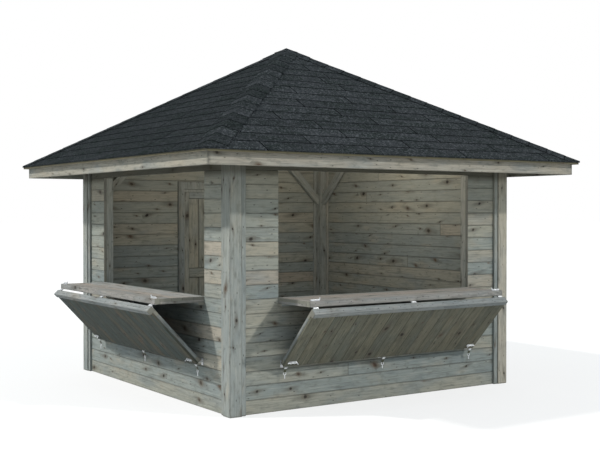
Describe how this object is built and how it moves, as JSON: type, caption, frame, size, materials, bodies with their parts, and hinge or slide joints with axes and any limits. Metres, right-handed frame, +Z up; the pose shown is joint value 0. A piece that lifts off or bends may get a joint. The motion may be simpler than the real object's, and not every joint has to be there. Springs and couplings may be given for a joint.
{
  "type": "wooden market hut",
  "caption": "Square timber market hut with a hipped shingle roof, two fold-down serving counters and a back door.",
  "frame": {"origin": "middle of the plan at ground level", "axes": "+Z up, -Y out of the front hatch, -X out of the left hatch"},
  "size_m": [3.953, 3.953, 3.213],
  "materials": {
    "wall_timber": "weathered, unpolished",
    "post_timber": "weathered, unpolished",
    "fascia_timber": "weathered, unpolished",
    "hatch_timber": "weathered, unpolished",
    "door_timber": "weathered, unpolished",
    "roof_timber": "weathered, unpolished",
    "bitumen_shingle": "mineral granules",
    "zinc": "zinc plated"
  },
  "bodies": {
    "hut": {"back_wall_left": "wall_timber", "back_wall_over_door": "door_timber", "back_wall_right": "wall_timber", "corner_post_back_left": "post_timber", "corner_post_back_right": "post_timber", "corner_post_front_left": "post_timber", "corner_post_front_right": "post_timber", "door_casings": "door_timber", "door_lining": "door_timber", "door_pintles": "zinc", "fascia_back": "fascia_timber", "fascia_front": "fascia_timber", "fascia_left": "fascia_timber", "fascia_right": "fascia_timber", "front_barrel_bolts": "zinc", "front_counter": "hatch_timber", "front_fold_hinges": "zinc", "front_hatch_latches": "zinc", "front_prop_frame": "hatch_timber", "front_prop_planks": "hatch_timber", "front_wall_below_hatch": "wall_timber", "front_wall_lintel": "wall_timber", "front_wall_piers": "wall_timber", "hatch_jambs": "post_timber", "hip_caps": "bitumen_shingle", "hip_rafters": "roof_timber", "inner_edge_battens": "post_timber", "king_block": "roof_timber", "knee_braces": "post_timber", "left_barrel_bolts": "zinc", "left_counter": "hatch_timber", "left_fold_hinges": "zinc", "left_hatch_latches": "zinc", "left_prop_frame": "hatch_timber", "left_prop_planks": "hatch_timber", "left_wall_below_hatch": "wall_timber", "left_wall_lintel": "wall_timber", "left_wall_piers": "wall_timber", "outer_cover_strips": "post_timber", "right_wall": "wall_timber", "roof_boards_back": "roof_timber", "roof_boards_front": "roof_timber", "roof_boards_left": "roof_timber", "roof_boards_right": "roof_timber", "shingle_slope_back": "bitumen_shingle", "shingle_slope_front": "bitumen_shingle", "shingle_slope_left": "bitumen_shingle", "shingle_slope_right": "bitumen_shingle", "sill_strips": "post_timber", "slope_rafters": "roof_timber", "top_plates": "post_timber"},
    "door": {"door_frame": "door_timber", "door_panels": "door_timber", "door_handle": "zinc", "door_hinges": "zinc"}
  },
  "joints": [
    {"name": "door_hinge", "type": "hinge", "parent": "hut", "child": "door", "pos_m": [-0.3785, 1.508, 0], "axis": [0, 0, 1], "range_deg": [0, 105]}
  ]
}
